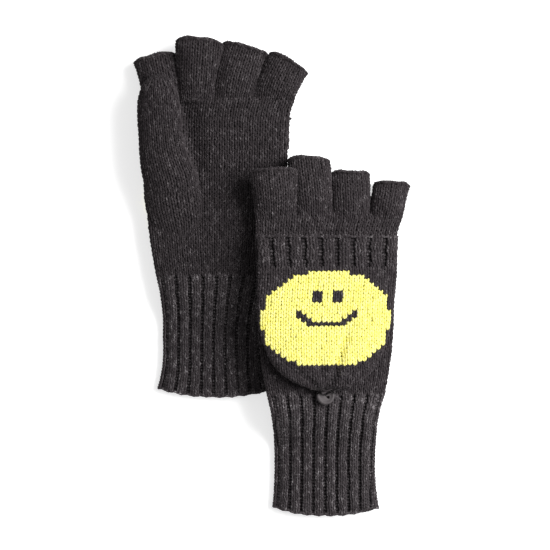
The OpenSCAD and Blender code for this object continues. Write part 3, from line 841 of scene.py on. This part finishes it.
def makeBand(side):
    sections = [section(x + band[side], y, flapMiddle, half, flapThick / 2) for y, x, half in band['rows']]
    sheet = makeSheet(side, sections, arc=(0.0, 0.5), along=40)
    period = float(np.mean(sheet['girth'])) / 2 / gauge['bandRibs']
    wale = period * 0.355
    unit = stitchUnit(wale, gauge['bandRow'], yarn=1.06, wales=2, gap=period - 2 * wale, dip=0.5)
    rows = round(band['length'] / gauge['bandRow'])
    edge = edgeUnit(period / 4, 0.85)
    shift = wale / period / gauge['bandRibs'] - 0.5 / gauge['bandRibs']
    parts = [knitOver(sheet, unit, gauge['bandRibs'], rows, rough=0.8, phase=shift),
             rim(sheet, edge, gauge['bandRibs'] * 4, at=band['edgeAt'], rough=2.0, sink=0.1),
             backing(sheet, gauge['bandRibs'] * 4, rows, depth=2.3, thick=0.6)]
    return ride(joined(side + '_flap_band_rib', parts, bandSet), side, 'flap', 'flap_band')


# ---- plied yarn: seam, thread and loop

def plied(bm, path, thick, pitch, sides=6):  # two strands wound round one another
    path = [Vector(p) for p in path]
    run = [0.0]
    for a, b in zip(path, path[1:]):
        run.append(run[-1] + (b - a).length)
    count = max(8, int(run[-1] / pitch * 8))
    stops = np.linspace(0, run[-1], count)
    centre = np.array([[np.interp(s, run, [p[i] for p in path]) for i in range(3)] for s in stops])
    ahead = np.gradient(centre, axis=0)
    for strand in (0, math.pi):
        points = []
        for c, t, s in zip(centre, ahead, stops):
            t = Vector(t).normalized()
            out = t.orthogonal().normalized() if abs(t.z) > 0.9 else Vector((0, 0, 1)).cross(t).normalized()
            up = t.cross(out)
            a = strand + 2 * math.pi * s / pitch
            points.append(Vector(c) + (out * math.cos(a) + up * math.sin(a)) * thick * 0.24)
        drawTube(bm, points, [thick * 0.28] * len(points), sides)


def laid(bm, side, name):
    mesh = toMesh(bm, name)
    co = readPoints(mesh)
    mesh.vertices.foreach_set('co', lay(side, co).astype(np.float32).ravel())
    if side == 'left':
        mesh.flip_normals()
    return mesh


yarns = {  # how thick each is, and the length of one turn of its plies
    'seam': {'thick': 1.5, 'pitch': 3.4, 'inset': 2.0}, 'thread': {'thick': 0.5, 'pitch': 1.3},
    'shank': {'thick': 1.5, 'pitch': 1.4}, 'loop': {'thick': 1.3, 'pitch': 2.6, 'radius': 5.1, 'height': 0.72}
}


def makeSeam(side):
    own = yarns['seam']
    low, high = nodeBox('left_flap_seam')
    half = (high[0] - low[0]) / 2 - own['inset']
    bm = bmesh.new()
    plied(bm, [(-half, 0, foldRise), (0, 0.0, foldRise), (half, 0, foldRise)], own['thick'], own['pitch'])
    return ride(joined(side + '_flap_seam_yarn', [laid(bm, side, 'seam')], [charcoalWool]), side, 'glove', 'flap_seam')


button = {'x': -2.2, 'turn': -34.0, 'pitch': 4.2, 'hole': 0.95, 'profile': [
    (0, 0.1), (4.9, 0), (5.8, 0.25), (6.25, 0.8), (6.35, 1.5), (6.2, 2.25), (5.8, 2.75), (5.3, 2.98), (4.8, 2.95),
    (4.4, 2.7), (3.9, 2.35), (3.2, 2.2), (0, 2.15)]}


def spun(profile, steps=64):
    bm = bmesh.new()
    verts = [bm.verts.new((r, 0, z)) for r, z in profile]
    edges = [bm.edges.new(pair) for pair in zip(verts, verts[1:])]
    bmesh.ops.spin(bm, geom=verts + edges, cent=(0, 0, 0), axis=(0, 0, 1), dvec=(0, 0, 0),
                   angle=2 * math.pi, steps=steps, use_merge=True, use_duplicate=False)
    bmesh.ops.remove_doubles(bm, verts=bm.verts, dist=1e-4)
    return toMesh(bm, 'spun')


def makeButton(side):
    scale = buttonRadius / 6.35
    body = bpy.data.objects.new('button blank', spun([(r * scale, z) for r, z in button['profile']]))
    cutter = bpy.data.objects.new('button drill', spun([(0, -1), (button['hole'], -1), (button['hole'], 1.9),
                                                        (button['hole'] + 0.45, 2.6), (0, 2.6)], 24))
    bpy.context.scene.collection.objects.link(body)
    bpy.context.scene.collection.objects.link(cutter)
    turn = math.radians(button['turn'])
    for way in (-1, 1):
        cutter.location = (way * button['pitch'] / 2 * math.cos(turn), way * button['pitch'] / 2 * math.sin(turn), 0)
        bpy.context.view_layer.update()
        drill = body.modifiers.new('hole', 'BOOLEAN')
        drill.object = cutter
        drill.operation = 'DIFFERENCE'
        drill.solver = 'EXACT'
        cut = bpy.data.meshes.new_from_object(body.evaluated_get(bpy.context.evaluated_depsgraph_get()))
        body.modifiers.clear()
        body.data = cut
    bm = bmesh.new()
    bm.from_mesh(body.data)
    bmesh.ops.translate(bm, vec=(button['x'], buttonY, buttonRise), verts=bm.verts)
    bpy.data.objects.remove(body)
    bpy.data.objects.remove(cutter)
    mesh = laid(bm, side, 'button')
    return ride(joined(side + '_button_resin', [mesh], [buttonResin]), side, 'glove', 'button')


def makeThread(side):
    turn = math.radians(button['turn'])
    dx, dy = math.cos(turn) * button['pitch'] / 2, math.sin(turn) * button['pitch'] / 2
    bm = bmesh.new()
    top = buttonRise + 2.3
    for off in (-0.2, 0.2):
        path = [(-dx, buttonY - dy + off, 0.0), (-dx, buttonY - dy + off, top - 0.4),
                (-dx * 0.7, buttonY - dy * 0.7 + off, top - 0.2), (0, buttonY + off, top - 0.25)]
        path += [(-x, 2 * buttonY - y + 2 * off, z) for x, y, z in reversed(path[:-1])]
        plied(bm, path, yarns['thread']['thick'], yarns['thread']['pitch'], sides=5)
    for way in (-1, 1):  # the shank, wound with the same thread
        x, y = way * dx * 0.6, buttonY + way * dy * 0.6
        plied(bm, [(x, y, 0), (x, y, buttonRise)], yarns['shank']['thick'], yarns['shank']['pitch'])
    bmesh.ops.translate(bm, vec=(button['x'], 0, 0), verts=bm.verts)
    return ride(joined(side + '_button_thread_yarn', [laid(bm, side, 'thread')], [darkYarn]), side, 'glove',
                'button_thread')


def makeLoop(side):
    # it slips round the shank, tucked under the button's rim
    own = yarns['loop']
    start = -flapLength - 1.2
    path = [(-3.6, start + 2.6, 1.1), (-4.4, start + 0.6, 0.8)]
    path += [(-own['radius'] * math.cos(a), buttonY - own['radius'] * math.sin(a), own['height'])
             for a in np.linspace(-0.6, math.pi + 0.6, 26)]
    path += [(4.4, start + 0.6, 0.8), (3.6, start + 2.6, 1.1)]
    bm = bmesh.new()
    plied(bm, path, own['thick'], own['pitch'])
    bmesh.ops.translate(bm, vec=(button['x'], 0, 0), verts=bm.verts)
    return ride(joined(side + '_button_loop_yarn', [laid(bm, side, 'loop')], [darkYarn]), side, 'loop', 'button_loop')


for side in sides:
    makeHand(side)
    makeCuff(side)
    soft = [makeKnuckles(side)] + [makeFinger(side, i) for i in range(4)]
    for piece in soft:
        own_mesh(piece)
    makeThumb(side)
    makeGusset(side)
    makeFlap(side)
    makeBand(side)
    makeSeam(side)
    makeButton(side)
    makeThread(side)
    makeLoop(side)
    print(side, 'mitten knitted')


# ---- floor, light and camera

studio = {'floor': 1.6, 'height': 1.9, 'lens': 183.0, 'centre': (2.7, 0.6),
          'key': 3.0, 'rake': 38.0, 'fill': 0.3, 'sky': 0.34}

bm = bmesh.new()
bmesh.ops.create_grid(bm, x_segments=1, y_segments=1, size=studio['floor'])
floor = bpy.data.objects.new('floor', toMesh(bm, 'floor', recalc=False))
bpy.context.scene.collection.objects.link(floor)
paper, tree, shader = startMaterial('lit white acrylic', Roughness=0.9, Base_Color=linear('#dcdcdc'),
                                    Emission_Color=(1, 1, 1, 1), Emission_Strength=0.62)
grain = addNode(tree, 'ShaderNodeTexNoise', inputs={
    'Vector': addNode(tree, 'ShaderNodeTexCoord').outputs['Object'], 'Scale': 900.0})
bump = addNode(tree, 'ShaderNodeBump', inputs={'Height': grain.outputs['Fac'], 'Strength': 0.03, 'Distance': 0.0002})
tree.links.new(bump.outputs['Normal'], shader.inputs['Normal'])
floor.data.materials.append(paper)


def areaLight(name, power, size, at):  # aimed at the middle of the table
    light = bpy.data.lights.new(name, 'AREA')
    light.energy, light.size = power, size
    lamp = bpy.data.objects.new(name, light)
    lamp.location = at
    lamp.rotation_euler = (-Vector(at)).to_track_quat('-Z', 'Y').to_euler()
    bpy.context.scene.collection.objects.link(lamp)


areaLight('key softbox', studio['key'], 0.5, (0.75, 0.35, 1.2))
areaLight('rake softbox', studio['rake'], 1.1, (1.1, 0.35, 0.85))
areaLight('fill softbox', studio['fill'], 1.2, (-0.5, -0.7, 1.3))
world = bpy.data.worlds.new('studio')
bpy.context.scene.world = world
world.use_nodes = True
world.node_tree.nodes['Background'].inputs['Color'].default_value = (1, 1, 1, 1)
world.node_tree.nodes['Background'].inputs['Strength'].default_value = studio['sky']
bpy.context.scene.view_settings.view_transform = 'Standard'

lens = bpy.data.cameras.new('camera')
lens.lens, lens.sensor_width = studio['lens'], 36.0
lens.clip_end = 10.0
camera = bpy.data.objects.new('camera', lens)
camera.location = (studio['centre'][0] * mm, studio['centre'][1] * mm, studio['height'])
bpy.context.scene.collection.objects.link(camera)
bpy.context.scene.camera = camera
